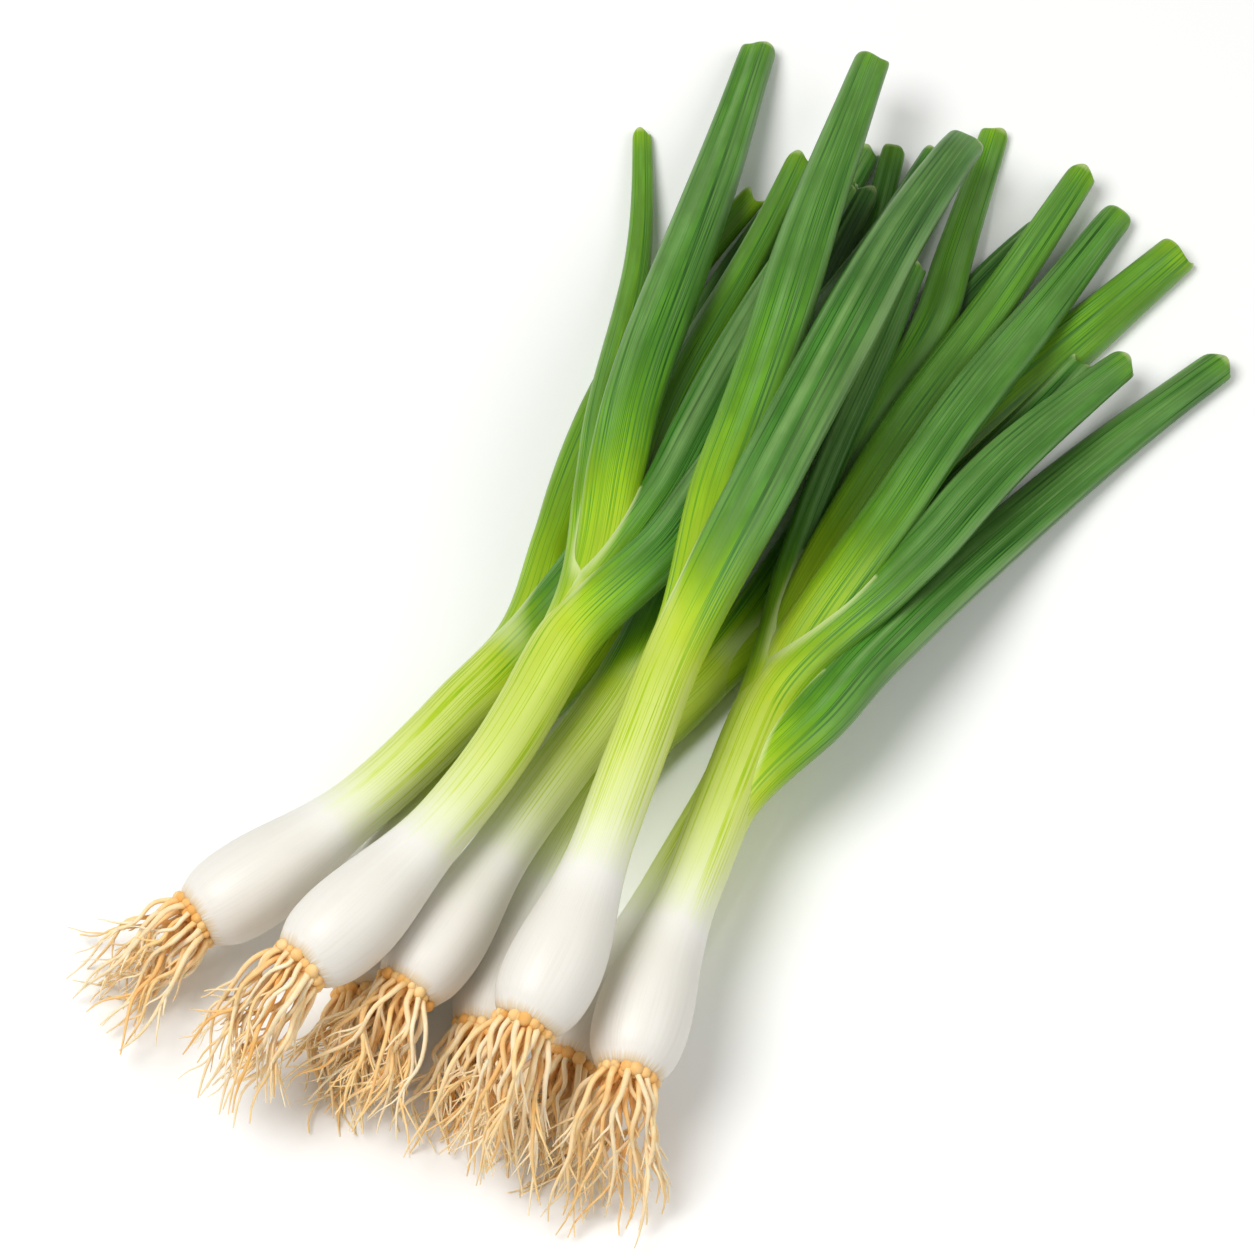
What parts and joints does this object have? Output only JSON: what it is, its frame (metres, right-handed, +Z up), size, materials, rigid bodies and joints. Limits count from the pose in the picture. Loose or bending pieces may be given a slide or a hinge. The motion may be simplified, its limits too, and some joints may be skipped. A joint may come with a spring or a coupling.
{
  "type": "spring onion bunch",
  "caption": "Loose bunch of spring onions lying down: white bulbs with fibrous roots, pale green stems and trimmed tubular green leaves.",
  "frame": {"origin": "on the surface under the middle of the bunch", "axes": "+X along the bunch from the roots to the leaf tips, +Z up from the surface it lies on"},
  "size_m": [0.3904, 0.1964, 0.0725],
  "materials": {
    "stem": "smooth satin skin, white at the bulb and pale green above",
    "leaf": "smooth satin leaf with a thin waxy bloom",
    "leaf_young": "smooth satin leaf",
    "leaf_dark": "smooth satin leaf with a waxy bloom",
    "root": "dry fibrous"
  },
  "bodies": {
    "root": {"stem_f": "stem", "leaf_f1": "leaf_dark", "leaf_f2": "leaf_dark", "roots_f": "root", "stem_g": "stem", "leaf_g1": "leaf_young", "leaf_g2": "leaf_dark", "roots_g": "root", "stem_h": "stem", "leaf_h1": "leaf_young", "leaf_h2": "leaf_dark", "roots_h": "root", "stem_c": "stem", "leaf_c1": "leaf", "leaf_c2": "leaf_dark", "roots_c": "root", "stem_a": "stem", "leaf_a1": "leaf_young", "leaf_a2": "leaf", "roots_a": "root", "stem_b": "stem", "leaf_b1": "leaf_young", "leaf_b2": "leaf", "leaf_b3": "leaf", "leaf_b4": "leaf", "leaf_b5": "leaf_dark", "roots_b": "root", "stem_e": "stem", "leaf_e1": "leaf", "leaf_e2": "leaf", "leaf_e3": "leaf_dark", "leaf_e4": "leaf", "leaf_e5": "leaf_dark", "roots_e": "root", "stem_d": "stem", "leaf_d1": "leaf", "leaf_d2": "leaf_dark", "roots_d": "root"}
  },
  "joints": []
}
